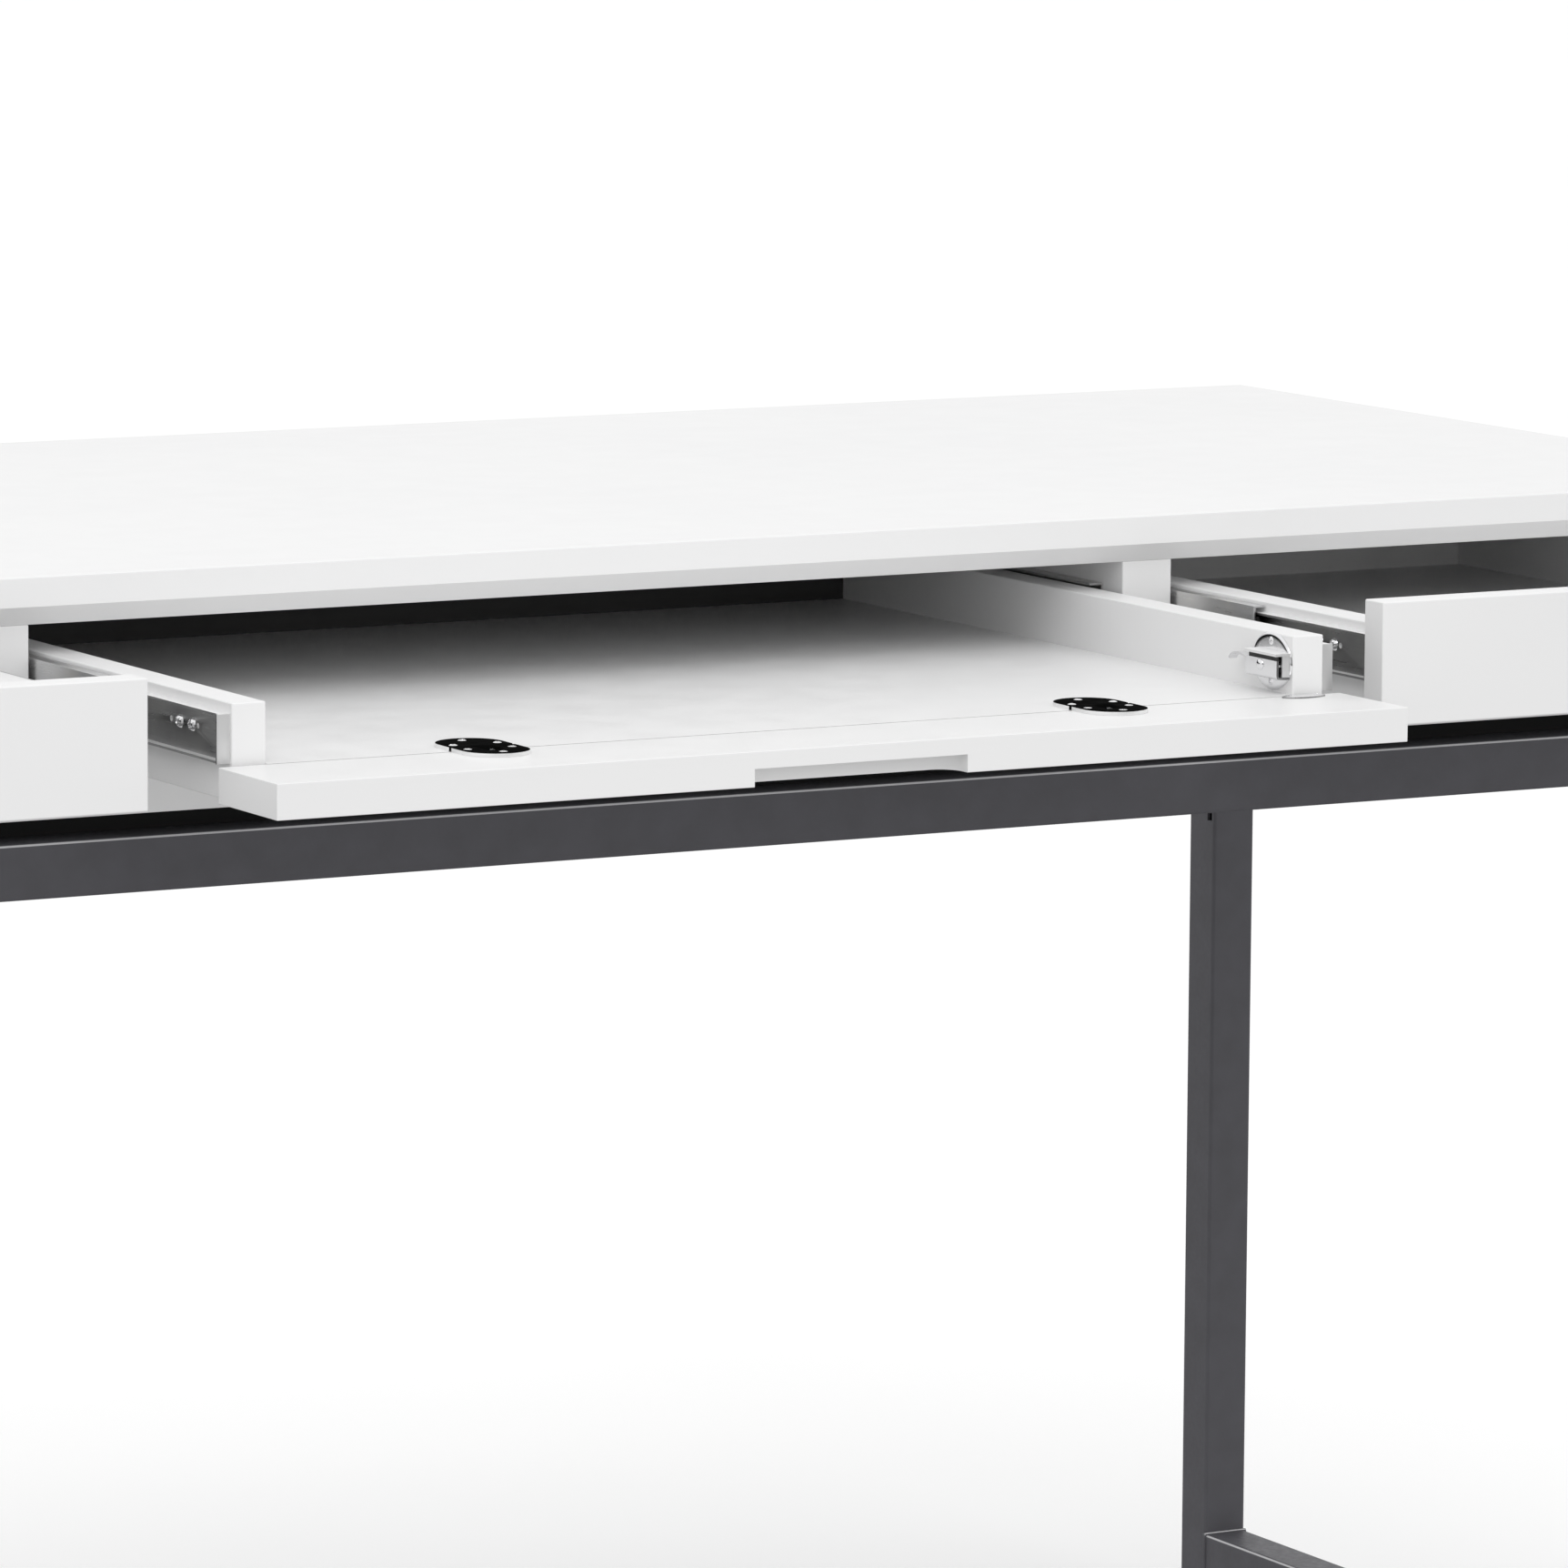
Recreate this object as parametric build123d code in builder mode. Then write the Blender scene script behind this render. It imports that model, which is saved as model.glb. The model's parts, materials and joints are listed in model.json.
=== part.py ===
from build123d import *
import os

# Computer desk: a lacquered case with a pull-out keyboard tray between two drawers,
# standing on a square-tube steel frame. Millimetres, +X right, -Y front, +Z up.
# The origin is on the floor, under the middle of the desk with its flap let down.

os.makedirs("parts", exist_ok=True)

# ---------------------------------------------------------------- driving dimensions
desk_width = 1524.0
slab_depth = 610.0
desk_height = 750.0
slab_edge = 15.0            # vertical edge of the desktop
slab_bevel = 10.0           # undercut below the vertical edge
case_inset = 10.0           # case and frame stand back from the slab's edge
end_thickness = 30.0        # end panels and dividers
tray_bay_half = 316.5       # half the width of the keyboard tray's bay
bay_floor_drop = 93.0       # drops are measured down from the desktop
case_under_drop = 123.3
spacer_height = 11.5
spacer_inset = 24.0
tube = 28.5
tube_wall = 2.0
tube_corner = 2.0
stretcher_drop = 705.0
back_thickness = 16.0

board = 17.5                # tray bottom, flap and drawer fronts
side_board = 18.0
flap_reach = 280.0          # free edge of the open flap, in front of the case
flap_height = 64.0
flap_half = 315.5
tray_surface_drop = 70.0
front_under_drop = 90.5     # lower edge of every front when it is shut
side_top_drop = 40.0
tray_half_inner = 289.0
tray_front = 214.0          # front edge of the tray bottom, in front of the case
tray_side_front = 213.0
box_back = -270.0           # rear face of the tray and of the open drawers
drawer_open = 206.0         # how far the side drawers stand open
drawer_gap = 1.0            # round each drawer front
drawer_floor_drop = 71.0
drawer_floor = 9.0

slide_drop = 57.3           # centre line of every slide
slide_space = 9.5
slide_length = 450.0
middle_length = 440.0
outer_setback = 20.0
middle_setback = 23.5       # front of the middle member when shut
tray_closed_travel = 233.0
steel = 1.2
outer_half = 19.0
middle_half = 15.4
inner_half = 12.0

joint_edge = 216.0          # rear edge of the open flap
pole_out = 226.0            # hinge axis of the flap, in front of the case
pole_drop = 80.5
cove_radius = 15.0          # hollow in the tray's front edge round the hinge axis
hinge_cove_radius = 16.8
hinge_x = 174.0
hinge_length = 60.0
hinge_width = 34.5
leaf = 1.9
arm_half = 4.8
mortise_half = 9.0
slot_half = 5.3

catch_out = 194.3
catch_drop = 54.5
pivot_out = 197.0
pivot_drop = 55.5

edge_round = 0.8
pilot_radius = 1.7
shank_radius = 1.5
screw_length = 13.0
outer_screw_setbacks = (35, 240, 415)

# ---------------------------------------------------------------- derived places
slab_front = (flap_reach - case_inset - slab_depth) / 2
slab_back = slab_front + slab_depth
case_front = slab_front + case_inset
case_back = slab_back - case_inset
case_half = desk_width / 2 - case_inset
slab_under = desk_height - slab_edge - slab_bevel
bay_floor = desk_height - bay_floor_drop
case_under = desk_height - case_under_drop
frame_top = case_under - spacer_height
stretcher_top = desk_height - stretcher_drop
foot_height = stretcher_top - tube
divider_outer = tray_bay_half + end_thickness
end_inner = case_half - end_thickness
tray_surface = desk_height - tray_surface_drop
tray_under = tray_surface - board
front_under = desk_height - front_under_drop
side_top = desk_height - side_top_drop
slide_z = desk_height - slide_drop
pole_z = desk_height - pole_drop
joint_line = (tray_front + joint_edge) / 2


def ahead(distance):
    """Y of a place that is this far in front of the case."""
    return case_front - distance


def span(low, high):
    """Middle and length of a stretch."""
    return (low + high) / 2, high - low


def save(piece, name):
    """Label a finished piece and write it out."""
    piece.part.label = name
    export_step(piece.part, f"parts/{name}.step")


def panel(x_span, y_span, z_span, soften=edge_round):
    """A board with softened edges between three pairs of limits."""
    x_mid, x_size = span(*x_span)
    y_mid, y_size = span(*y_span)
    with BuildPart() as made:
        with BuildSketch(Plane.XY.offset(z_span[0])):
            with Locations((x_mid, y_mid)):
                Rectangle(x_size, y_size)
        extrude(amount=z_span[1] - z_span[0])
        if soften:
            fillet(made.edges(), soften)
    return made


# ---------------------------------------------------------------- case
outer_screw_rows = [ahead(-outer_setback - back) for back in outer_screw_setbacks]
outer_screw_points = [(y, slide_z) for y in outer_screw_rows]

with BuildPart() as desktop:
    with BuildSketch(Plane.XY.offset(slab_under)):
        with Locations((0, (slab_front + slab_back) / 2)):
            Rectangle(desk_width, slab_depth)
    extrude(amount=desk_height - slab_under)
    chamfer(desktop.edges().group_by(Axis.Z)[0], slab_bevel)
    fillet(desktop.edges().filter_by(Axis.Z, reverse=True).group_by(Axis.Z)[-1], edge_round)
save(desktop, "desktop")

bolt_x = tray_bay_half + end_thickness / 2
bolt_setback = 90.0
bolt_rows = (case_front + bolt_setback, case_back - bolt_setback)
bolt_points = [(side * bolt_x, y) for side in (-1, 1) for y in bolt_rows]
bolt_radius = 3.0
bolt_hole = 3.3
bolt_bite = 22.0
bolt_head_radius = 6.5
bolt_head_height = 3.2
bolt_socket_radius = 2.2
bolt_socket_depth = 2.0
end_room = 1.0              # left beyond the point of a bolt or screw

case_bottom = panel((-case_half, case_half), (case_front, case_back), (case_under, bay_floor))
with BuildPart() as case_bottom_board:
    add(case_bottom.part)
    with BuildSketch(Plane.XY.offset(case_under)):
        with Locations(*bolt_points):
            Circle(bolt_hole)
    extrude(amount=bolt_bite + end_room, mode=Mode.SUBTRACT)
save(case_bottom_board, "case_bottom")


def bay_wall(x_inner, x_outer, bored_faces):
    """An end panel or divider, bored for the screws of the slides on it."""
    with BuildPart() as wall:
        add(panel((x_inner, x_outer), (case_front, case_back - back_thickness),
                  (bay_floor, slab_under)).part)
        for face, into in bored_faces:
            with BuildSketch(Plane.YZ.offset(face)):
                with Locations(*outer_screw_points):
                    Circle(pilot_radius)
            extrude(amount=into * (screw_length + end_room), mode=Mode.SUBTRACT)
    return wall


save(bay_wall(-case_half, -end_inner, [(-end_inner, -1)]), "left_end_panel")
save(bay_wall(end_inner, case_half, [(end_inner, 1)]), "right_end_panel")
save(bay_wall(-divider_outer, -tray_bay_half, [(-divider_outer, 1), (-tray_bay_half, -1)]),
     "left_divider")
save(bay_wall(tray_bay_half, divider_outer, [(divider_outer, -1), (tray_bay_half, 1)]),
     "right_divider")
save(panel((-case_half, case_half), (case_back - back_thickness, case_back),
           (bay_floor, slab_under)), "back_panel")

with BuildPart() as spacer:
    with BuildSketch(Plane.XY.offset(frame_top)):
        with Locations((0, (case_front + case_back) / 2)):
            Rectangle(2 * (case_half - spacer_inset), case_back - case_front - 2 * spacer_inset)
        with Locations(*bolt_points):
            Circle(bolt_hole, mode=Mode.SUBTRACT)
    extrude(amount=spacer_height)
save(spacer, "spacer_board")


# ---------------------------------------------------------------- steel frame
def tube_section(wide=tube):
    """The rounded square section of the frame's tube, hollow."""
    with BuildSketch() as section:
        RectangleRounded(wide, wide, tube_corner)
        RectangleRounded(wide - 2 * tube_wall, wide - 2 * tube_wall, tube_corner / 2,
                         mode=Mode.SUBTRACT)
    return section.sketch


rail_z = frame_top - tube / 2
leg_x = case_half - tube / 2
leg_rows = {"front": case_front + tube / 2, "back": case_back - tube / 2}
inner_front = case_front + tube
inner_back = case_back - tube
plate_thickness = 3.0
stem_radius = 4.0
stem_clearance = 0.2
stem_reach = 8.0            # beyond the plate in the foot of the leg
pad_radius = 12.5
pad_height = 9.0
pad_round = 1.5
slot_width = 5.3
slot_setback = 2.6
slot_height = 12.0
slot_top_drop = 250.0

for row, leg_y in leg_rows.items():
    with BuildPart() as legs:
        for side in (-1, 1):
            with BuildSketch(Plane.XY.offset(foot_height)):
                with Locations((side * leg_x, leg_y)):
                    add(tube_section())
            extrude(amount=frame_top - foot_height)
            for plate_z in (foot_height, frame_top - plate_thickness):
                with BuildSketch(Plane.XY.offset(plate_z)):
                    with Locations((side * leg_x, leg_y)):
                        Rectangle(tube - 2 * tube_wall, tube - 2 * tube_wall)
                extrude(amount=plate_thickness)
            with BuildSketch(Plane.XY.offset(foot_height)):
                with Locations((side * leg_x, leg_y)):
                    Circle(stem_radius + stem_clearance)
            extrude(amount=plate_thickness, mode=Mode.SUBTRACT)
            if row == "back":
                inner_face = side * (leg_x - tube / 2)
                with BuildSketch(Plane.YZ.offset(inner_face)):
                    with Locations((leg_y - tube / 2 + slot_setback + slot_width / 2,
                                    desk_height - slot_top_drop - slot_height / 2)):
                        Rectangle(slot_width, slot_height)
                extrude(amount=side * tube_wall * 2, mode=Mode.SUBTRACT)
    save(legs, f"{row}_legs")

for name, rail_y in (("front_rail", case_front + tube / 2), ("back_rail", case_back - tube / 2)):
    with BuildPart() as rail:
        with BuildSketch(Plane.YZ.offset(-leg_x + tube / 2)):
            with Locations((rail_y, rail_z)):
                add(tube_section())
        extrude(amount=2 * leg_x - tube)
    save(rail, name)


def tubes_front_to_back(places, z, bored=()):
    """Tubes between the front and back rows, bored upwards for bolts."""
    with BuildPart() as tubes:
        for x in places:
            with BuildSketch(Plane.XZ.offset(-inner_back)):
                with Locations((x, z)):
                    add(tube_section())
            extrude(amount=inner_back - inner_front)
        if bored:
            with BuildSketch(Plane.XY.offset(z - tube / 2)):
                with Locations(*bored):
                    Circle(bolt_hole)
            extrude(amount=tube, mode=Mode.SUBTRACT)
    return tubes


save(tubes_front_to_back((-leg_x, leg_x), rail_z), "side_rails")
save(tubes_front_to_back((-bolt_x, bolt_x), rail_z, bolt_points), "cross_rails")
save(tubes_front_to_back((-leg_x, leg_x), stretcher_top - tube / 2), "stretchers")

with BuildPart() as glides:
    for side in (-1, 1):
        for leg_y in leg_rows.values():
            with BuildSketch(Plane.XY):
                with Locations((side * leg_x, leg_y)):
                    Circle(pad_radius)
            extrude(amount=pad_height)
            with BuildSketch(Plane.XY.offset(pad_height)):
                with Locations((side * leg_x, leg_y)):
                    Circle(stem_radius)
            extrude(amount=foot_height + plate_thickness + stem_reach - pad_height)
    fillet(glides.edges().filter_by(GeomType.CIRCLE).group_by(Axis.Z)[0], pad_round)
save(glides, "glides")

with BuildPart() as frame_bolts:
    with BuildSketch(Plane.XY.offset(frame_top - tube)):
        with Locations(*bolt_points):
            Circle(bolt_radius)
    extrude(amount=tube + spacer_height + bolt_bite)
    with BuildSketch(Plane.XY.offset(frame_top - tube)):
        with Locations(*bolt_points):
            Circle(bolt_head_radius)
    extrude(amount=-bolt_head_height)
    with BuildSketch(Plane.XY.offset(frame_top - tube - bolt_head_height)):
        with Locations(*bolt_points):
            RegularPolygon(bolt_socket_radius, 6)
    extrude(amount=bolt_socket_depth, mode=Mode.SUBTRACT)
save(frame_bolts, "frame_bolts")


# ---------------------------------------------------------------- drawer slides
# Each slide is named by the bay's wall that it is on and the way out of that wall.
tray_faces = [(-tray_bay_half, 1), (tray_bay_half, -1)]
right_faces = [(divider_outer, 1), (end_inner, -1)]
left_faces = [(-divider_outer, -1), (-end_inner, 1)]
middle_web = 2.2
inner_web = slide_space - steel
outer_depth = slide_space - 1.0     # how far each member's lips stand from the wall
middle_depth = slide_space - 0.5
inner_depth = 5.6                   # of the inner member's channel itself
tab_depth = 5.8
screw_setbacks = (39, 53, 230, 410)
screw_clearance = 0.4
inner_row = slide_z + 2.5            # height of the screws in the inner members
spare_hole_setbacks = (33, 63, 256, 384)
spare_hole = 1.5
web_slot_setbacks = (118, 310)
web_slot_length = 12.0
web_slot_height = 4.0
head_width = 7.0
pan_height = 2.0
flush_height = 1.0
recess_reach = 0.55                 # of the cross in a screw's head, to the head's width
recess_width = 0.7
recess_share = 0.6                  # of the head's height

cage_x_out = 6.2
cage_depth = 3.6
cage_sheet = 1.0
cage_length = 130.0
cage_end_gap = 15.0
cage_setback = 150.0
ball_radius = 0.8
balls = 8

buffer_length = 12.0
buffer_height = 19.0
buffer_depth = 2.4
buffer_corner = 0.8


def channels(faces, web, lip, half_height, front, length):
    """A pair of C-shaped members: web and lips are distances out of the wall."""
    with BuildPart() as pair:
        for face, way in faces:
            near, far = face + way * min(web, lip), face + way * max(web, lip)
            inward = way if lip > web else -way
            with BuildSketch(Plane.XZ.offset(-ahead(front - length))):
                with Locations(((near + far) / 2, slide_z)):
                    Rectangle(abs(far - near), 2 * half_height)
                with Locations(((near + far) / 2 + inward * steel, slide_z)):
                    Rectangle(abs(far - near), 2 * (half_height - steel), mode=Mode.SUBTRACT)
            extrude(amount=length)
    return pair


def outer_members(faces):
    """Members screwed to the bay's walls, countersunk flush for their screws."""
    with BuildPart() as pair:
        add(channels(faces, 0, outer_depth, outer_half, -outer_setback, slide_length).part)
        for face, way in faces:
            with BuildSketch(Plane.YZ.offset(face)):
                with Locations(*outer_screw_points):
                    Circle(head_width / 2 + stem_clearance / 2)
            extrude(amount=way * steel, mode=Mode.SUBTRACT)
    return pair


def inner_members(faces, front):
    """Members screwed to the drawer's sides, each with a bent tab at its front."""
    with BuildPart() as pair:
        add(channels(faces, slide_space, slide_space - inner_depth, inner_half, front,
                     slide_length).part)
        for face, way in faces:
            tab_mid = face + way * (inner_web - tab_depth / 2 + steel / 2)
            with BuildSketch(Plane.XZ.offset(-ahead(front - steel))):
                with Locations((tab_mid, slide_z)):
                    Rectangle(tab_depth + steel, 2 * inner_half)
            extrude(amount=steel)
            web_plane = Plane.YZ.offset(face + way * slide_space)
            with BuildSketch(web_plane):
                for setback in screw_setbacks:
                    with Locations((ahead(front - setback), inner_row)):
                        Circle(pilot_radius + screw_clearance)
                for setback in spare_hole_setbacks:
                    with Locations((ahead(front - setback), inner_row)):
                        Circle(spare_hole)
                for setback in web_slot_setbacks:
                    with Locations((ahead(front - setback), slide_z)):
                        SlotOverall(web_slot_length, web_slot_height)
            extrude(amount=-way * steel, mode=Mode.SUBTRACT)
    return pair


def middle_members(faces, front):
    """Members that run between the other two and travel half as far."""
    return channels(faces, middle_web, middle_depth, middle_half, front, middle_length)


def ball_cages(faces, front):
    """Ball retainers above and below the middle member, two races to a slide."""
    races = [(outer_half - steel + middle_half) / 2, (middle_half - steel + inner_half) / 2]
    rears = [front - middle_length + cage_end_gap, front - cage_setback]
    with BuildPart() as cages:
        for face, way in faces:
            cage_x = face + way * cage_x_out
            for race, rear in zip(races, rears):
                cage_y = ahead(rear + cage_length / 2)
                for level in (-race, race):
                    with BuildSketch(Plane.XY.offset(slide_z + level - cage_sheet / 2)):
                        with Locations((cage_x, cage_y)):
                            Rectangle(cage_depth, cage_length)
                    extrude(amount=cage_sheet)
                    with Locations((cage_x, cage_y, slide_z + level)):
                        with GridLocations(0, cage_length / balls, 1, balls):
                            Sphere(ball_radius)
    return cages


def buffers(faces, front):
    """Plastic ends in the front of the middle member."""
    with BuildPart() as ends:
        for face, way in faces:
            with BuildSketch(Plane.XZ.offset(-ahead(front - buffer_length))):
                with Locations((face + way * (middle_web + steel + buffer_depth / 2), slide_z)):
                    RectangleRounded(buffer_depth, buffer_height, buffer_corner)
            extrude(amount=buffer_length)
    return ends


def screws(planes_and_points, head, head_height, length, flush):
    """Cross-head screws: flush heads sink behind the plane, pan heads stand on it."""
    with BuildPart() as group:
        for plane, points in planes_and_points:
            top = plane if flush else plane.offset(head_height)
            with BuildSketch(top):
                with Locations(*points):
                    Circle(head / 2)
            extrude(amount=-head_height)
            with BuildSketch(top.offset(-head_height)):
                with Locations(*points):
                    Circle(shank_radius)
            extrude(amount=-length)
            with BuildSketch(top):
                with Locations(*points):
                    Rectangle(head * recess_reach, recess_width)
                    Rectangle(recess_width, head * recess_reach)
            extrude(amount=-head_height * recess_share, mode=Mode.SUBTRACT)
    return group


def wall_plane(face, way):
    """A plane on a bay's wall, facing out of it, with Y and Z as its axes."""
    return Plane(origin=(face, 0, 0), x_dir=(0, way, 0), z_dir=(way, 0, 0))


def slide_screws(faces, offset, direction, rows, row_z, head_height, flush):
    """Screws through the webs of a pair of members, heads facing the given way."""
    groups = []
    for face, way in faces:
        plane = wall_plane(face + way * offset, direction * way)
        groups.append((plane, [(direction * way * y, row_z) for y in rows]))
    return screws(groups, head_width, head_height, screw_length - head_height, flush)


bays = {"tray": tray_faces, "left_drawer": left_faces, "right_drawer": right_faces}
inner_fronts = {"tray": tray_side_front - drawer_gap * 2,
                "left_drawer": drawer_open - board - drawer_gap,
                "right_drawer": drawer_open - board - drawer_gap}
middle_fronts = {"tray": tray_closed_travel / 2 - middle_setback,
                 "left_drawer": drawer_open / 2 - middle_setback,
                 "right_drawer": drawer_open / 2 - middle_setback}

for bay, faces in bays.items():
    inner_rows = [ahead(inner_fronts[bay] - setback) for setback in screw_setbacks]
    save(outer_members(faces), f"{bay}_outer_slides")
    save(middle_members(faces, middle_fronts[bay]), f"{bay}_middle_slides")
    save(inner_members(faces, inner_fronts[bay]), f"{bay}_inner_slides")
    save(ball_cages(faces, middle_fronts[bay]), f"{bay}_ball_cages")
    save(buffers(faces, middle_fronts[bay]), f"{bay}_slide_buffers")
    save(slide_screws(faces, inner_web, -1, inner_rows, inner_row, pan_height, False),
         f"{bay}_slide_screws")

all_faces = tray_faces + left_faces + right_faces
save(slide_screws(all_faces, steel, 1, outer_screw_rows, slide_z, flush_height, True),
     "case_slide_screws")


# ---------------------------------------------------------------- side drawers
def bored_side(x_span, y_span, z_span, face, into, front):
    """A drawer side, bored for the screws of the slide on its outer face."""
    with BuildPart() as side:
        add(panel(x_span, y_span, z_span).part)
        with BuildSketch(Plane.YZ.offset(face)):
            for setback in screw_setbacks:
                with Locations((ahead(front - setback), inner_row)):
                    Circle(pilot_radius)
        extrude(amount=into * (screw_length + end_room), mode=Mode.SUBTRACT)
    return side


pull_width = 119.0
pull_depth = 17.0
pull_corner = 12.0
pull_cut = 9.0
drawer_inner = {"left_drawer": -1, "right_drawer": 1}
box_front = drawer_open - board
floor_top = desk_height - drawer_floor_drop
floor_rise = 4.0            # of a drawer's floor above the lower edge of its sides
drawer_under = floor_top - drawer_floor - floor_rise

for drawer, side in drawer_inner.items():
    bay_near, bay_far = side * divider_outer, side * end_inner
    box_y = (ahead(box_front), ahead(box_back))
    sides_made = []
    for wall, way in ((bay_near, side), (bay_far, -side)):
        face = wall + way * slide_space
        x_span = sorted((face, face + way * side_board))
        sides_made.append(bored_side(x_span, box_y, (drawer_under, side_top), face, way,
                                     inner_fronts[drawer]))
    with BuildPart() as drawer_sides:
        for made in sides_made:
            add(made.part)
    save(drawer_sides, f"{drawer}_sides")
    inside = sorted((bay_near + side * (slide_space + side_board),
                     bay_far - side * (slide_space + side_board)))
    front_x = sorted((bay_near + side * drawer_gap, bay_far - side * drawer_gap))
    save(panel(inside, (ahead(box_back + side_board), ahead(box_back)),
               (drawer_under, side_top)), f"{drawer}_back")
    save(panel(inside, (ahead(box_front), ahead(box_back + side_board)),
               (floor_top - drawer_floor, floor_top), 0), f"{drawer}_bottom")
    with BuildPart() as drawer_front:
        add(panel(front_x, (ahead(drawer_open), ahead(box_front)),
                  (front_under, front_under + flap_height)).part)
        with BuildSketch(Plane.XZ.offset(-ahead(drawer_open))):
            with Locations(((front_x[0] + front_x[1]) / 2, front_under + flap_height)):
                RectangleRounded(pull_width, 2 * pull_depth, pull_corner)
        extrude(amount=-pull_cut, mode=Mode.SUBTRACT)
    save(drawer_front, f"{drawer}_front")


# ---------------------------------------------------------------- keyboard tray
tray_half_outer = tray_half_inner + side_board
catch_z = desk_height - catch_drop
catch_screw_rise = 10.3
catch_screw_points = [(ahead(catch_out), catch_z + rise)
                      for rise in (-catch_screw_rise, catch_screw_rise)]
catch_screw_bite = 3.5
arm_root = 199.0            # rear of the slot for the hinge's arm
arm_slot = 22.0
arm_slot_floor = 3.5
cove_overrun = 10.0


def hinge_axis_cylinder(radius, x_low, x_high):
    """A cylinder round the flap's hinge axis between two places along it."""
    with BuildPart() as sweep_space:
        with BuildSketch(Plane.YZ.offset(x_low)):
            with Locations((ahead(pole_out), pole_z)):
                Circle(radius)
        extrude(amount=x_high - x_low)
    return sweep_space.part


pair_x = 12.0
pair_y = 7.8
end_y = 22.0
leaf_hole = 2.2
leaf_screw_depth = 10.0


def leaf_points(side, forward):
    """The three screw places of one leaf of the hinge on the given side."""
    x = side * hinge_x
    return [(x - pair_x, ahead(joint_line + forward * pair_y)),
            (x + pair_x, ahead(joint_line + forward * pair_y)),
            (x, ahead(joint_line + forward * end_y))]


tray_leaf_points = leaf_points(-1, -1) + leaf_points(1, -1)
flap_leaf_points = leaf_points(-1, 1) + leaf_points(1, 1)

flap_cove = hinge_axis_cylinder(cove_radius, -tray_half_outer - cove_overrun,
                                tray_half_outer + cove_overrun)
hinge_cove_half = hinge_width / 2 + 0.3
hinge_coves = [hinge_axis_cylinder(hinge_cove_radius, x - hinge_cove_half, x + hinge_cove_half)
               for x in (-hinge_x, hinge_x)]
lip_front = 215.3

with BuildPart() as tray_bottom:
    with BuildSketch(Plane.XY.offset(tray_under)):
        with Locations((0, (ahead(lip_front) + ahead(box_back + side_board)) / 2)):
            Rectangle(2 * tray_half_inner, lip_front - box_back - side_board)
    extrude(amount=board)
    add(flap_cove, mode=Mode.SUBTRACT)
    for cove in hinge_coves:
        add(cove, mode=Mode.SUBTRACT)
    with BuildSketch(Plane.XY.offset(tray_surface)):
        with Locations((-hinge_x, ahead(arm_root + arm_slot / 2 - 1)),
                       (hinge_x, ahead(arm_root + arm_slot / 2 - 1))):
            Rectangle(2 * slot_half, arm_slot)
    extrude(amount=-board + arm_slot_floor, mode=Mode.SUBTRACT)
    with BuildSketch(Plane.XY.offset(tray_surface)):
        with Locations(*tray_leaf_points):
            Circle(pilot_radius)
    extrude(amount=-leaf_screw_depth, mode=Mode.SUBTRACT)
save(tray_bottom, "tray_bottom")

for name, side in (("tray_left_side", -1), ("tray_right_side", 1)):
    x_span = sorted((side * tray_half_inner, side * tray_half_outer))
    with BuildPart() as tray_side:
        add(bored_side(x_span, (ahead(tray_side_front), ahead(box_back)),
                       (tray_under, side_top), side * tray_half_outer, -side,
                       inner_fronts["tray"]).part)
        add(flap_cove, mode=Mode.SUBTRACT)
        if side == 1:
            with BuildSketch(Plane.YZ.offset(tray_half_inner)):
                with Locations(*catch_screw_points):
                    Circle(pilot_radius)
            extrude(amount=catch_screw_bite, mode=Mode.SUBTRACT)
    save(tray_side, name)

save(panel((-tray_half_inner, tray_half_inner), (ahead(box_back + side_board), ahead(box_back)),
           (tray_under, side_top)), "tray_back")

# ---------------------------------------------------------------- flap and its hinges
strike_out = 222.0
strike_length = 25.0
strike_width = 11.0
strike_spacing = 15.0
strike_x = tray_half_inner + 1
strike_thickness = 1.0
strike_screw_head = 1.7
strike_screw = 6.0
mortise_length = 16.5
mortise_floor = 2.5
flap_round = 0.4
strike_points = [(strike_x + move, ahead(strike_out))
                 for move in (-strike_spacing / 2, strike_spacing / 2)]

with BuildPart() as keyboard_flap:
    add(panel((-flap_half, flap_half), (ahead(flap_reach), ahead(joint_edge)),
              (tray_under, tray_surface), flap_round).part)
    with BuildSketch(Plane.XY.offset(tray_under)):
        with Locations((0, ahead(flap_reach))):
            RectangleRounded(pull_width, 2 * pull_depth, pull_corner)
    extrude(amount=pull_cut, mode=Mode.SUBTRACT)
    with BuildSketch(Plane.XY.offset(tray_surface)):
        with Locations((-hinge_x, ahead(joint_edge + mortise_length / 2)),
                       (hinge_x, ahead(joint_edge + mortise_length / 2))):
            Rectangle(2 * mortise_half, mortise_length)
    extrude(amount=-board + mortise_floor, mode=Mode.SUBTRACT)
    with BuildSketch(Plane.XY.offset(tray_surface)):
        with Locations(*flap_leaf_points, *strike_points):
            Circle(pilot_radius)
    extrude(amount=-leaf_screw_depth, mode=Mode.SUBTRACT)
save(keyboard_flap, "keyboard_flap")

flap_leaf_rear = 215.7
tray_leaf_front = 213.1


def half_oval(side, low, high):
    """The part of the hinge's rounded outline between two distances in front of the case."""
    with BuildSketch(Plane.XY.offset(tray_surface)) as outline:
        with Locations((side * hinge_x, ahead(joint_line))):
            SlotOverall(hinge_length, hinge_width, rotation=90)
        with Locations((side * hinge_x, (ahead(low) + ahead(high)) / 2)):
            Rectangle(hinge_width + 2, high - low, mode=Mode.INTERSECT)
    return outline


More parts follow.
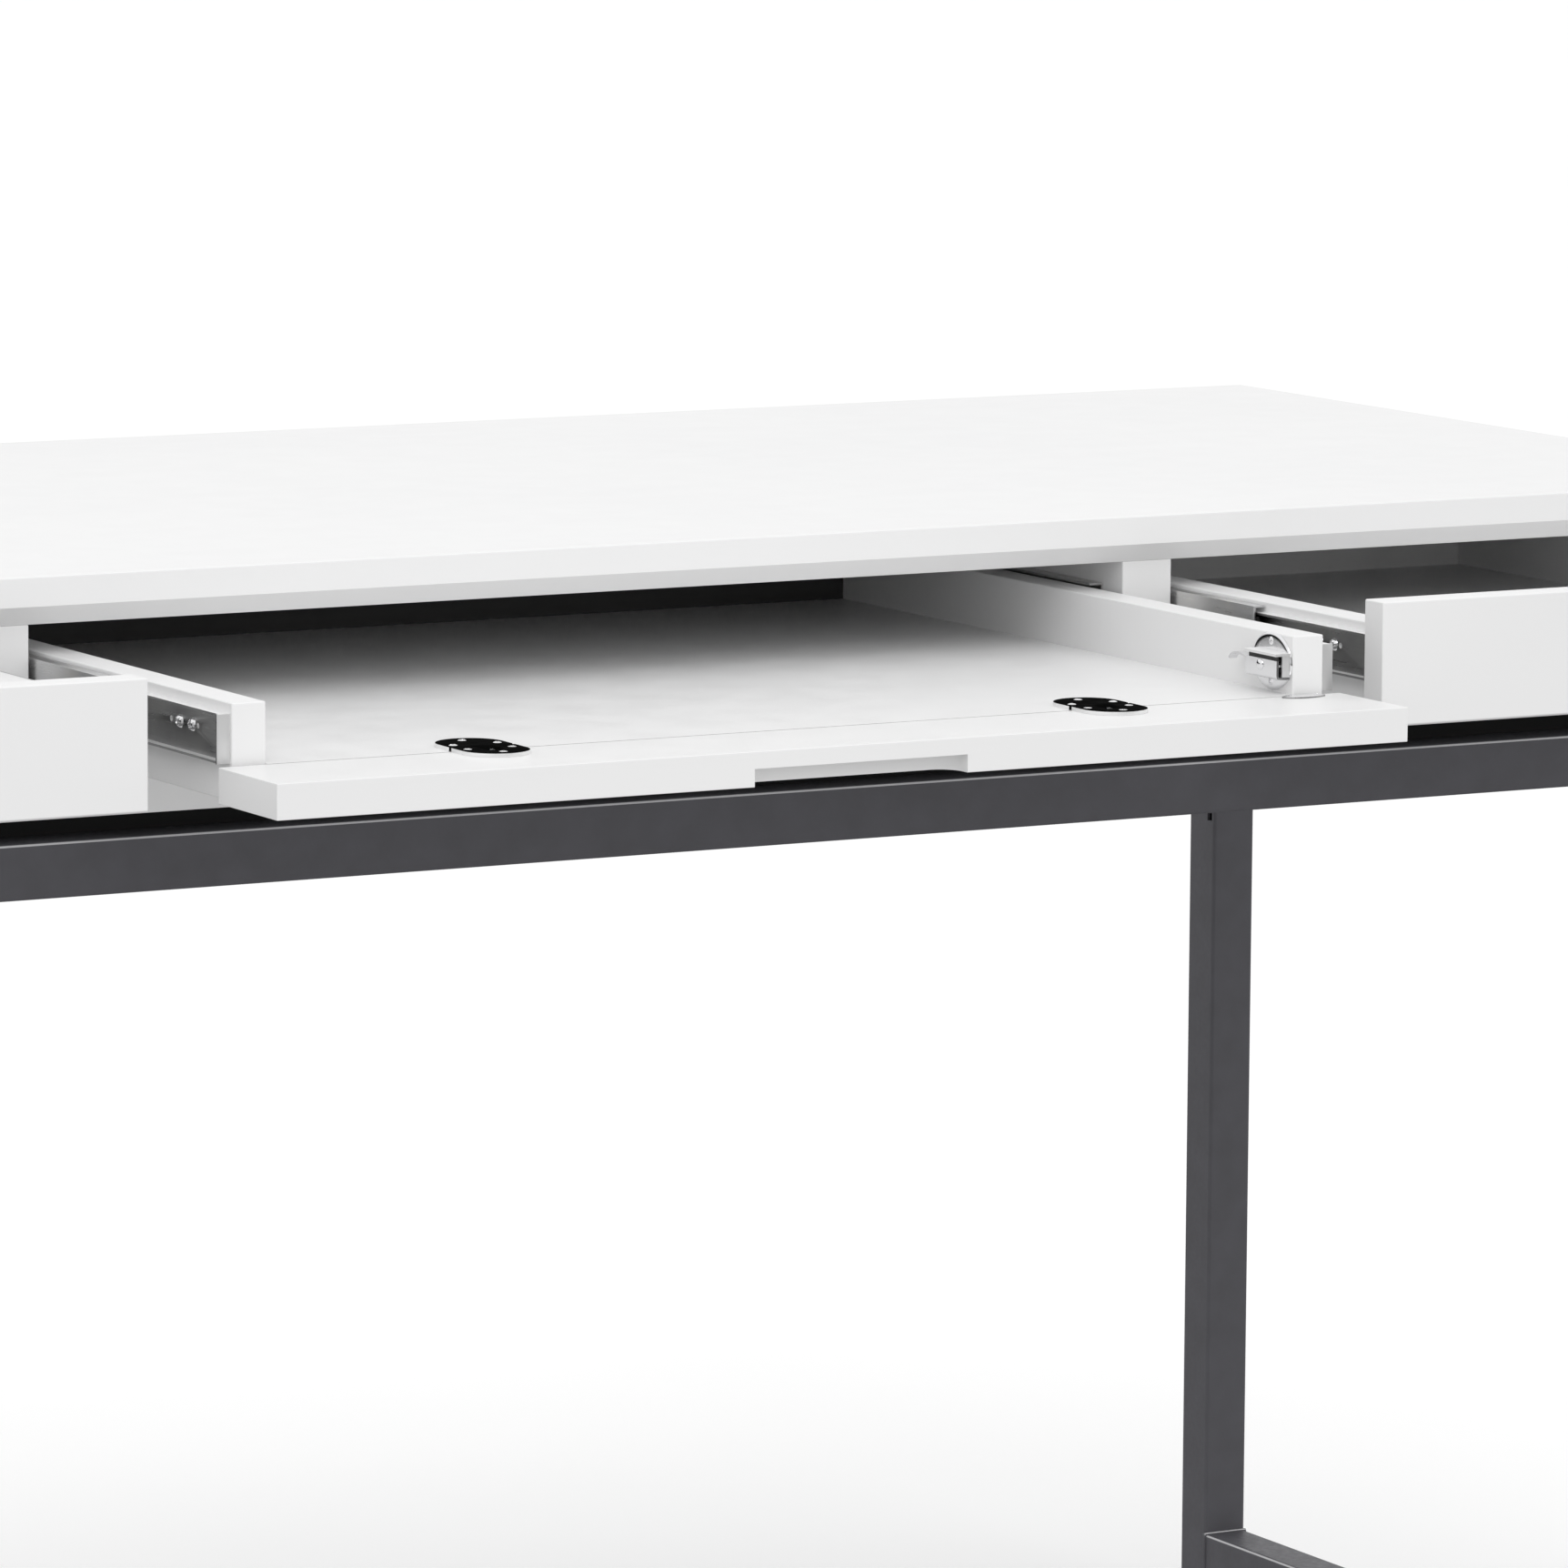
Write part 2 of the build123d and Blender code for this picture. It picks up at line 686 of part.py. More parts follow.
pin_radius = 1.9
boss_radius = 3.4
running_gap = 0.35
arm_rise = 14.2             # where the arm leaves the leaf, from the slot's rear
leaf_screw = 9.0
with BuildPart() as tray_leaves:
    for side in (-1, 1):
        x = side * hinge_x
        add(half_oval(side, joint_line - hinge_length, tray_leaf_front).sketch)
        extrude(amount=leaf)
        with BuildSketch(Plane.YZ.offset(x - arm_half)):
            with BuildLine():
                Polyline((ahead(pole_out), pole_z - boss_radius),
                         (ahead(pole_out), pole_z + boss_radius),
                         (ahead(arm_root + arm_rise), pole_z + boss_radius),
                         (ahead(arm_root + arm_rise), tray_surface),
                         (ahead(arm_root), tray_surface),
                         (ahead(arm_root), pole_z - boss_radius),
                         close=True)
            make_face()
            with Locations((ahead(pole_out), pole_z)):
                Circle(boss_radius)
                Circle(pin_radius + running_gap, mode=Mode.SUBTRACT)
        extrude(amount=2 * arm_half)
        with BuildSketch(Plane.XY.offset(tray_surface + leaf)):
            with Locations(*leaf_points(side, -1)):
                Circle(leaf_hole)
        extrude(amount=-leaf, mode=Mode.SUBTRACT)
save(tray_leaves, "tray_hinge_leaves")

lug_half = 3.6
lug_side_gap = 0.3
lug_width = mortise_half - slot_half - 0.5
notch_length = 14.8         # opening in the flap's leaf for the arm
with BuildPart() as flap_leaves:
    for side in (-1, 1):
        x = side * hinge_x
        add(half_oval(side, flap_leaf_rear, joint_line + hinge_length).sketch)
        extrude(amount=leaf)
        for near in (x - mortise_half + lug_side_gap, x + mortise_half - lug_side_gap - lug_width):
            with BuildSketch(Plane.YZ.offset(near)):
                with Locations((ahead(pole_out), (pole_z + tray_surface) / 2)):
                    Rectangle(2 * lug_half, tray_surface - pole_z)
                with Locations((ahead(pole_out), pole_z)):
                    Circle(lug_half)
                    Circle(pin_radius, mode=Mode.SUBTRACT)
            extrude(amount=lug_width)
        with BuildSketch(Plane.XY.offset(tray_surface + leaf)):
            with Locations(*leaf_points(side, 1)):
                Circle(leaf_hole)
            with Locations((x, ahead(joint_edge + notch_length / 2 - lug_side_gap))):
                Rectangle(2 * slot_half, notch_length)
        extrude(amount=-leaf, mode=Mode.SUBTRACT)
save(flap_leaves, "flap_hinge_leaves")

with BuildPart() as hinge_pins:
    for side in (-1, 1):
        with BuildSketch(Plane.YZ.offset(side * hinge_x - mortise_half + lug_side_gap)):
            with Locations((ahead(pole_out), pole_z)):
                Circle(pin_radius)
        extrude(amount=2 * (mortise_half - lug_side_gap))
save(hinge_pins, "hinge_pins")

leaf_top = Plane.XY.offset(tray_surface + leaf)
for name, points in (("tray_hinge_screws", tray_leaf_points),
                     ("flap_hinge_screws", flap_leaf_points)):
    save(screws([(leaf_top, points)], 2 * leaf_hole, leaf, leaf_screw, True), name)

# ---------------------------------------------------------------- catch and its lever
plate = 1.5
plate_half_length = 18.3
plate_half_height = 14.7
housing_rear = 183.0
housing_front = 212.5
housing_height = 13.5
housing_depth = 8.0
housing_wall = 1.2
pivot_z = desk_height - pivot_drop
catch_face = tray_half_inner - plate
rivet_radius = 1.6
rivet_head = 3.0
rivet_head_height = 0.8
catch_screw = 3.0

with BuildPart() as catch_body:
    with BuildSketch(Plane.YZ.offset(tray_half_inner)):
        with Locations((ahead(catch_out), catch_z)):
            Ellipse(plate_half_length, plate_half_height)
        with Locations(*catch_screw_points):
            Circle(leaf_hole, mode=Mode.SUBTRACT)
    extrude(amount=-plate)
    with BuildSketch(Plane.XZ.offset(-ahead(housing_rear))):
        with Locations((catch_face - housing_depth / 2, pivot_z)):
            Rectangle(housing_depth, housing_height)
        with Locations((catch_face - housing_depth / 2 + housing_wall / 2, pivot_z)):
            Rectangle(housing_depth - housing_wall, housing_height - 2 * housing_wall,
                      mode=Mode.SUBTRACT)
    extrude(amount=housing_front - housing_rear)
    with BuildSketch(Plane.YZ.offset(catch_face)):
        with Locations((ahead(pivot_out), pivot_z)):
            Circle(rivet_radius)
    extrude(amount=-housing_depth, mode=Mode.SUBTRACT)
save(catch_body, "catch_body")

catch_plane = wall_plane(catch_face, -1)
save(screws([(catch_plane, [(-y, z) for y, z in catch_screw_points])], 2 * leaf_hole, plate,
            catch_screw, True), "catch_screws")

with BuildPart() as catch_rivet:
    with BuildSketch(Plane.YZ.offset(catch_face)):
        with Locations((ahead(pivot_out), pivot_z)):
            Circle(rivet_radius)
    extrude(amount=-housing_depth)
    with BuildSketch(Plane.YZ.offset(catch_face - housing_depth)):
        with Locations((ahead(pivot_out), pivot_z)):
            Circle(rivet_head)
    extrude(amount=-rivet_head_height)
save(catch_rivet, "catch_rivet")

lever_width = 4.8
lever_tail = 163.0
lever_nose = 210.5
lever_half = 0.6            # half the thickness of the bar
lever_boss = 3.2
latch_height = 3.0
latch_length = 3.0
tail_low = 1.4
tail_high = 2.4
with BuildPart() as catch_lever:
    with BuildSketch(Plane.YZ.offset(catch_face - housing_wall)):
        with BuildLine():
            Polyline((ahead(lever_nose), pivot_z + latch_height),
                     (ahead(lever_nose - latch_length), pivot_z + lever_half),
                     (ahead(housing_rear), pivot_z + lever_half),
                     (ahead(lever_tail), pivot_z + tail_high),
                     (ahead(lever_tail), pivot_z + tail_low),
                     (ahead(housing_rear), pivot_z - lever_half),
                     (ahead(lever_nose), pivot_z - lever_half),
                     close=True)
        make_face()
        with Locations((ahead(pivot_out), pivot_z)):
            Circle(lever_boss)
            Circle(rivet_radius + running_gap, mode=Mode.SUBTRACT)
    extrude(amount=-lever_width)
save(catch_lever, "catch_lever")

with BuildPart() as strike_plate:
    with BuildSketch(Plane.XY.offset(tray_surface)):
        with Locations((strike_x, ahead(strike_out))):
            Ellipse(strike_length / 2, strike_width / 2)
        with Locations(*strike_points):
            Circle(strike_screw_head, mode=Mode.SUBTRACT)
    extrude(amount=strike_thickness)
save(strike_plate, "strike_plate")
strike_top = Plane.XY.offset(tray_surface + strike_thickness)
save(screws([(strike_top, strike_points)], 2 * strike_screw_head, strike_thickness,
            strike_screw, True), "strike_screws")
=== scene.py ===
import json
import math
import random

import bmesh
import bpy
from mathutils import Matrix, Vector


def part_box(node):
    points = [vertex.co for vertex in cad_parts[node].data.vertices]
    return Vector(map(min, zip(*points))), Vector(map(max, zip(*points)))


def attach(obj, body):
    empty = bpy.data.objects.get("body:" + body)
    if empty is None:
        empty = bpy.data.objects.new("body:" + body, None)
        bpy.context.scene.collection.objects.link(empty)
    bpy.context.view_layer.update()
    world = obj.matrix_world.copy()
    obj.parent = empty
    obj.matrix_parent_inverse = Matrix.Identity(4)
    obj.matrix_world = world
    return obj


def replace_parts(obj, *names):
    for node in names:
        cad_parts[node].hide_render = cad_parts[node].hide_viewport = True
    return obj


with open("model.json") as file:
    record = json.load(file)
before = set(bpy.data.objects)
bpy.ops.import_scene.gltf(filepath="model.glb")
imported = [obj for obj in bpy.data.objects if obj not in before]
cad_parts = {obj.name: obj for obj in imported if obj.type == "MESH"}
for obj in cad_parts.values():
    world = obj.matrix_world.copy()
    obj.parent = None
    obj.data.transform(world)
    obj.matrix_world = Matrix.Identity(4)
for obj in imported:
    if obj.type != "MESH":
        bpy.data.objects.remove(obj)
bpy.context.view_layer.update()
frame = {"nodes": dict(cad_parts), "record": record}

# The frame is in metres. Sizes and places in this script are in millimetres, unless a
# comment says otherwise, and angles are in degrees where a name says so.
per_metre = 1000.0
full_turn = 2.0 * math.pi
quarter_turn = math.pi / 2
bays = ("tray", "left_drawer", "right_drawer")
luck = random.Random(7)

# ---------------------------------------------------------------- camera, metres and degrees
camera_place = Vector((-2.1427, -4.2206, 1.2634))
camera_turn = 29.043         # to the right of straight ahead
camera_tilt = -7.9015        # above the horizon, so it looks down
camera_roll = 0.357
camera_lens = 207.04         # millimetres, like the sensor's width
camera_sensor = 36.0
camera_reach = 200.0         # the farthest distance that is drawn
level_tilt = 90.0            # turns a camera that looks straight down to the horizon


def make_camera():
    """A long lens from the user's left, a little above the desktop."""
    data = bpy.data.cameras.new("camera")
    data.lens = camera_lens
    data.sensor_width = camera_sensor
    data.clip_end = camera_reach
    camera = bpy.data.objects.new("camera", data)
    turn = Matrix.Rotation(math.radians(-camera_turn), 4, "Z")
    tilt = Matrix.Rotation(math.radians(level_tilt + camera_tilt), 4, "X")
    roll = Matrix.Rotation(math.radians(camera_roll), 4, "Z")
    camera.matrix_world = Matrix.Translation(camera_place) @ turn @ tilt @ roll
    bpy.context.scene.collection.objects.link(camera)
    bpy.context.scene.camera = camera


# ---------------------------------------------------------------- node helpers
ramp_start, ramp_end = 0.3, 0.7      # the part of a noise's range that is spread out

# Painted highlight, in place of the overhead light's glint: how much lighter a surface is,
# against
# the upward part of its normal: only the corners between a tube's side and its top are, and the
# flats aren't.
edge_highlight_marks = ((0.0, 0.0), (0.3, 0.0), (0.45, 1.0), (0.75, 1.0), (0.88, 0.0))


def tone(red, green, blue):
    return (red, green, blue, 1.0)


def grey(value):
    return tone(value, value, value)


def noise(tree, scale, detail=3.0, stretch=(1.0, 1.0, 1.0)):
    """Noise in object space; scale is in cycles per metre."""
    place = tree.nodes.new("ShaderNodeTexCoord")
    mapping = tree.nodes.new("ShaderNodeMapping")
    mapping.inputs["Scale"].default_value = stretch
    texture = tree.nodes.new("ShaderNodeTexNoise")
    texture.inputs["Scale"].default_value = scale
    texture.inputs["Detail"].default_value = detail
    tree.links.new(place.outputs["Object"], mapping.inputs["Vector"])
    tree.links.new(mapping.outputs["Vector"], texture.inputs["Vector"])
    return texture.outputs["Fac"]


def mottle(tree, low, high, **grain):
    """A noise spread between two colours or two greys."""
    node = tree.nodes.new("ShaderNodeValToRGB")
    first, last = node.color_ramp.elements
    first.position, last.position = ramp_start, ramp_end
    first.color, last.color = low, high
    tree.links.new(noise(tree, **grain), node.inputs["Fac"])
    return node.outputs["Color"]


def raise_surface(tree, shader, height, **grain):
    """Roughens the surface by a noise of this height, in metres."""
    node = tree.nodes.new("ShaderNodeBump")
    node.inputs["Distance"].default_value = height
    tree.links.new(noise(tree, **grain), node.inputs["Height"])
    tree.links.new(node.outputs["Normal"], shader.inputs["Normal"])


def paint_edge_highlight(tree, colour, edge_highlight_tone):
    """Painted highlight: lightens the upper rounded corners of a tube, where the overhead light
    would glint.
    """
    surface = tree.nodes.new("ShaderNodeNewGeometry")
    parts = tree.nodes.new("ShaderNodeSeparateXYZ")
    tree.links.new(surface.outputs["Normal"], parts.inputs["Vector"])
    mask = tree.nodes.new("ShaderNodeValToRGB")
    for upward, _ in edge_highlight_marks[1:-1]:
        mask.color_ramp.elements.new(upward)
    for element, (upward, highlight_share) in zip(mask.color_ramp.elements, edge_highlight_marks):
        element.position = upward
        element.color = grey(highlight_share)
    tree.links.new(parts.outputs["Z"], mask.inputs["Fac"])
    mix = tree.nodes.new("ShaderNodeMix")
    mix.data_type = "RGBA"
    tree.links.new(mask.outputs["Color"], mix.inputs["Factor"])
    tree.links.new(colour, mix.inputs["A"])
    mix.inputs["B"].default_value = edge_highlight_tone
    return mix.outputs["Result"]


# ---------------------------------------------------------------- materials
def make_material(name, tint=None, gloss=None, relief=None, edge_highlight_tone=None, even=None):
    """A material. Its tint and gloss are noises between two tones, its relief is a noise with
    a height, the edge highlight tone is that of a painted highlight on its upper rounded edges,
    and even sets whole sockets."""
    material = bpy.data.materials.new(name)
    material.use_nodes = True
    tree = material.node_tree
    shader = tree.nodes["Principled BSDF"]
    if tint:
        colour = mottle(tree, **tint)
        if edge_highlight_tone:
            colour = paint_edge_highlight(tree, colour, edge_highlight_tone)
        tree.links.new(colour, shader.inputs["Base Color"])
    if gloss:
        tree.links.new(mottle(tree, **gloss), shader.inputs["Roughness"])
    if relief:
        raise_surface(tree, shader, **relief)
    for socket, value in (even or {}).items():
        shader.inputs[socket].default_value = value
    return material


def black_stain(name, low, high):
    """Matt stained board, with a faint grain along its length."""
    return make_material(
        name,
        tint=dict(low=grey(low), high=grey(high), scale=60.0, detail=4.0,
                  stretch=(0.08, 1.0, 1.0)),
        relief=dict(height=0.00005, scale=500.0, stretch=(0.06, 1.0, 1.0)),
        even={"Roughness": 0.7})


def zinc(name, low, high):
    """Zinc plate drawn along the slide, mottled between two tones."""
    return make_material(
        name,
        tint=dict(low=low, high=high, scale=30.0),
        gloss=dict(low=grey(0.26), high=grey(0.38), scale=900.0, detail=2.0,
                   stretch=(1.0, 0.03, 1.0)),
        relief=dict(height=0.00001, scale=1600.0, detail=2.0, stretch=(1.0, 0.02, 1.0)),
        even={"Metallic": 1.0})


def polished(name, smoothest, roughest, **settings):
    """Plate with the faint waviness of a pressed part."""
    return make_material(
        name,
        gloss=dict(low=grey(smoothest), high=grey(roughest), scale=150.0),
        relief=dict(height=0.00002, scale=180.0, detail=1.0),
        **settings)


materials = {
    # Satin lacquer: a faint cloudiness and a fine orange peel.
    "white_lacquer": make_material(
        "white_lacquer",
        tint=dict(low=tone(0.785, 0.785, 0.787), high=grey(0.80), scale=6.0),
        gloss=dict(low=grey(0.34), high=grey(0.42), scale=40.0),
        relief=dict(height=0.00003, scale=420.0, detail=2.0)),
    # Dark grey powder coat: slight mottling and a fine grain.
    "frame_coat": make_material(
        "powder_coat",
        tint=dict(low=tone(0.088, 0.087, 0.096), high=tone(0.098, 0.097, 0.109),
                  scale=55.0, detail=4.0),
        # Painted highlight: a light tone on the tubes' upper rounded edges, in place of the
        # overhead light's glint.
        edge_highlight_tone=tone(0.6, 0.6, 0.61),
        gloss=dict(low=grey(0.42), high=grey(0.55), scale=300.0),
        relief=dict(height=0.00004, scale=1500.0, detail=2.0),
        even={"Specular IOR Level": 0.35}),
    "spacer_black": black_stain("black_stain", low=0.004, high=0.009),
    "dark_board": black_stain("dark_board", low=0.045, high=0.06),
    "zinc_steel": zinc("zinc_plate", tone(0.56, 0.565, 0.58), tone(0.66, 0.65, 0.63)),
    # Painted shade and dark reflection: a darker copy of the zinc plate, on the inner slides'
    # webs and round the strike plate's rim.
    "zinc_painted_dark": zinc("zinc_painted_dark", tone(0.26, 0.26, 0.265), tone(0.36, 0.36, 0.355)),
    # Bright metal: bare steel on cut edges, brushed plate on the catch and the hinge rims, and a
    # painted highlight on the inner slides' flanges.
    "bright_metal_and_painted_highlight": polished(
        "bright_metal_and_painted_highlight", smoothest=0.5, roughest=0.6,
        even={"Base Color": grey(0.9), "Metallic": 1.0}),
    "bright_chrome": polished(
        "bright_chrome", smoothest=0.06, roughest=0.12,
        even={"Base Color": tone(0.82, 0.82, 0.83), "Metallic": 1.0}),
    # Painted dark reflection: the leaves are bright plate, and this near-black stands in for the
    # dark interior their tops mirror. It isn't a mirror itself, or the leaves would look grey at
    # a low angle.
    "black_nickel": polished(
        "black_nickel", smoothest=0.12, roughest=0.2,
        tint=dict(low=grey(0.004), high=grey(0.009), scale=120.0),
        even={"Specular IOR Level": 0.0}),
    # Moulded plastic with a fine spark-eroded grain.
    "black_plastic": make_material(
        "black_plastic",
        tint=dict(low=grey(0.012), high=grey(0.02), scale=200.0),
        relief=dict(height=0.00003, scale=2500.0, detail=2.0),
        even={"Roughness": 0.48}),
}


def show_as(mesh, look):
    mesh.materials.clear()
    mesh.materials.append(materials[look])


def finish_cad_nodes():
    """Gives every CAD node the material of its slot, and the tray's back a softer black."""
    for part in frame["record"]["subparts"]:
        show_as(frame["nodes"][part["node"]].data, part["material_slot"])
    show_as(frame["nodes"]["tray_back"].data, "dark_board")


# ---------------------------------------------------------------- places taken from the frame
body_of_node = {node: body for body, nodes in frame["record"]["behaviour"]["bodies"].items()
                for node in nodes}
slot_of_node = {part["node"]: part["material_slot"] for part in frame["record"]["subparts"]}
same_point = 1e-6            # metres: vertices as close as this are one


def box_mm(node):
    """The low and the high corner of a node."""
    low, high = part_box(node)
    return Vector(low) * per_metre, Vector(high) * per_metre


def middle(node):
    low, high = box_mm(node)
    return (low + high) / 2


def mesh_of(node):
    """A node's mesh as a bmesh in metres, with its faces joined along their edges."""
    shape = bmesh.new()
    shape.from_mesh(frame["nodes"][node].data)
    bmesh.ops.remove_doubles(shape, verts=shape.verts, dist=same_point)
    return shape


def solids_of(node):
    """The low and the high corner of every separate solid of a node."""
    shape = mesh_of(node)
    seen, boxes = set(), []
    for start in shape.verts:
        if start in seen:
            continue
        group, queue = [], [start]
        seen.add(start)
        while queue:
            vertex = queue.pop()
            group.append(vertex.co * per_metre)
            for edge in vertex.link_edges:
                other = edge.other_vert(vertex)
                if other not in seen:
                    seen.add(other)
                    queue.append(other)
        low = Vector([min(spot[axis] for spot in group) for axis in range(3)])
        high = Vector([max(spot[axis] for spot in group) for axis in range(3)])
        boxes.append((low, high))
    shape.free()
    return boxes


# ---------------------------------------------------------------- making pieces
bevel_angle = 30.0           # degrees: edges sharper than this are rounded
bevel_profile = 0.6          # a little fuller than a quarter circle
merge_angle = 1.0            # degrees: facets flatter than this are one face


def mm(x, y, z):
    return Vector((x, y, z)) / per_metre


def add_piece(name, shape, node, slot=None, look=None, sharp=35.0):
    """Makes a piece of a bmesh, on the body of the node it belongs to; edges over the sharp
    angle, in degrees, stay sharp in shading."""
    bmesh.ops.recalc_face_normals(shape, faces=shape.faces)
    mesh = bpy.data.meshes.new(name)
    shape.to_mesh(mesh)
    shape.free()
    for face in mesh.polygons:
        face.use_smooth = True
    mesh.set_sharp_from_angle(angle=math.radians(sharp))
    slot = slot or slot_of_node[node]
    mesh.materials.append(materials[look or slot])
    piece = bpy.data.objects.new(name, mesh)
    bpy.context.scene.collection.objects.link(piece)
    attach(piece, body_of_node[node])
    return piece


def two_looks(piece, look, chosen):
    """Gives the chosen faces another look."""
    piece.data.materials.append(materials[look])
    for face in piece.data.polygons:
        face.material_index = 1 if chosen(face) else 0


def bevel(shape, width, segments=2):
    """Rounds the sharp edges of a bmesh."""
    edges = [edge for edge in shape.edges if len(edge.link_faces) == 2
             and edge.calc_face_angle(0.0) > math.radians(bevel_angle)]
    bmesh.ops.bevel(shape, geom=edges, offset=width / per_metre, segments=segments,
                    profile=bevel_profile, affect="EDGES", clamp_overlap=True)


def softened(node, width, look=None):
    """A copy of a sheet-metal node with its cut edges rounded over, in the node's place."""
    shape = mesh_of(node)
    bmesh.ops.dissolve_limit(shape, angle_limit=math.radians(merge_angle), verts=shape.verts,
                             edges=shape.edges)
    bevel(shape, width)
    piece = add_piece(node + "_soft", shape, node, look=look)
    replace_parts(piece, node)
    return piece


def outline(shape, points, ends, place):
    """Adds a closed outline, pushed from one end to the other; place(a, b, end) turns a
    point of it into metres."""
    first, last = [[shape.verts.new(place(a, b, end)) for a, b in points] for end in ends]
    shape.faces.new(first)
    shape.faces.new(list(reversed(last)))
    for index in range(len(points)):
        after = (index + 1) % len(points)
        shape.faces.new((first[index], last[index], last[after], first[after]))


def join_rings(shape, inner, outer):
    """Adds a band of faces between two rings of as many vertices."""
    for side in range(len(inner)):
        after = (side + 1) % len(inner)
        shape.faces.new((inner[side], outer[side], outer[after], inner[after]))


def lathe(shape, centre, out, profile, halves=(1.0, 1.0), across=None, sides=72):
    """Adds a body of oval rings round an axis. Each pair of the profile is a ring's reach, in
    the unit of the halves, and its rise along the axis."""
    out = out.normalized()
    across = across or out.orthogonal().normalized()
    up = out.cross(across)
    rings = []
    for reach, rise in profile:
        ring = []
        for side in range(sides):
            angle = full_turn * side / sides
            spot = (centre + across * (halves[0] * reach * math.cos(angle))
                    + up * (halves[1] * reach * math.sin(angle)) + out * rise)
            ring.append(shape.verts.new(spot / per_metre))
        rings.append(ring)
    for inner, outer in zip(rings, rings[1:]):
        join_rings(shape, inner, outer)
    shape.faces.new(rings[0])
    shape.faces.new(list(reversed(rings[-1])))


# ---------------------------------------------------------------- screws
head_rings, head_sides = 11, 40
dome_power = 2.6             # how flat the head's middle is
# The cross recess, in shares of the head's radius.
recess_depth = 0.62
arm_reach = 0.62
arm_half = 0.15
# An arm's mouth and the width of its sloping wall, in shares of its half width.
arm_mouth = 1.35
arm_wall = 0.35
arm_rise = 0.55              # the share of its depth that an arm has lost at its end
head_under = 0.15            # how far the head's edge goes down
neck = 0.6                   # where the shank starts
shank_share = 0.42           # of the head's radius
tip_share = 0.2              # of the shank's radius
tip_length = 1.5
wall_margin = 10.0           # the screws in a bay's walls lie less than this outside its slides


def screw(shape, place, out, radius, rise, length, turn):
    """Adds a cross-head screw: a domed head with a tapering recess, and its shank."""
    out = out.normalized()
    across = out.orthogonal().normalized()
    up = out.cross(across)
    depth, arm, half = radius * recess_depth, radius * arm_reach, radius * arm_half
    shank = radius * shank_share

    def height(x, y):
        dome = rise * (1.0 - (math.hypot(x, y) / radius) ** dome_power)
        reach = max(abs(x), abs(y))
        narrow = min(abs(x), abs(y))
        if reach > arm or narrow > half * arm_mouth:
            return dome
        wall = min(1.0, (half * arm_mouth - narrow) / (half * arm_wall))
        return dome - wall * depth * (1.0 - arm_rise * reach / arm)

    def point(x, y, z):
        return shape.verts.new((place + across * x + up * y + out * z) / per_metre)

    def ring_of(reach, rise_at):
        """A ring of vertices; rise_at gives a vertex's rise from its angle."""
        ring = []
        for side in range(head_sides):
            angle = full_turn * side / head_sides
            ring.append(point(reach * math.cos(angle), reach * math.sin(angle),
                              rise_at(angle)))
        return ring

    rings = []
    for step in range(1, head_rings + 1):
        reach = radius * step / head_rings
        rings.append(ring_of(reach, lambda angle: height(reach * math.cos(angle + turn),
                                                         reach * math.sin(angle + turn))))
    for reach, level in ((radius, -head_under), (shank, -neck), (shank, -length),
                         (shank * tip_share, -length - tip_length)):
        rings.append(ring_of(reach, lambda angle: level))
    centre = point(0.0, 0.0, height(0.0, 0.0))
    for side in range(head_sides):
        shape.faces.new((centre, rings[0][side], rings[0][(side + 1) % head_sides]))
    for inner, outer in zip(rings, rings[1:]):
        join_rings(shape, inner, outer)
    shape.faces.new(rings[-1])


def screws(node, places, ways, radius, rise, length):
    """All the screws of a node, in its place; places are on the face that they hold down."""
    shape = bmesh.new()
    for place, way in zip(places, ways):
        screw(shape, place, way, radius, rise, length, luck.uniform(0.0, quarter_turn))
    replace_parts(add_piece(node + "_heads", shape, node, look="bright_chrome", sharp=25.0), node)


def upright_screws(node, radius, rise, length):
    """Screws that are driven down through a plate."""
    places = [Vector(((low.x + high.x) / 2, (low.y + high.y) / 2, high.z))
              for low, high in solids_of(node)]
    screws(node, places, [Vector((0, 0, 1))] * len(places), radius, rise, length)


def side_screws(node, way_at, radius, rise, length, stand=0.0):
    """Screws driven sideways. way_at gives, from a screw's X, the side that its head is on,
    and stand is how far the CAD head stands out of the face it holds down."""
    places, ways = [], []
    for low, high in solids_of(node):
        centre = (low + high) / 2
        way = way_at(centre.x)
        face = (high.x if way > 0 else low.x) - way * stand
        places.append(Vector((face, centre.y, centre.z)))
        ways.append(Vector((way, 0, 0)))
    screws(node, places, ways, radius, rise, length)


def bay_spans():
    """The middle and half the width of every bay."""
    spans = []
    for bay in bays:
        low, high = box_mm(bay + "_outer_slides")
        spans.append(((low.x + high.x) / 2, (high.x - low.x) / 2 + wall_margin))
    return spans


def make_screws():
    """Every screw that shows."""
    spans = bay_spans()

    def into_bay(x):
        """The way out of the wall that a slide is on, towards the middle of its bay."""
        centre = next(centre for centre, half in spans if abs(centre - x) < half)
        return 1 if centre > x else -1

    upright_screws("tray_hinge_screws", radius=2.2, rise=0.5, length=6.0)
    upright_screws("flap_hinge_screws", radius=2.2, rise=0.2, length=6.0)
    upright_screws("strike_screws", radius=1.7, rise=0.4, length=4.0)
    side_screws("catch_screws", lambda x: -1, radius=2.2, rise=0.6, length=2.5)
    for bay in bays:
        bay_middle = middle(bay + "_bottom").x
        side_screws(bay + "_slide_screws", lambda x: 1 if x > bay_middle else -1,
                    radius=3.5, rise=2.2, length=8.0, stand=2.0)
    side_screws("case_slide_screws", into_bay, radius=3.4, rise=0.3, length=8.0)


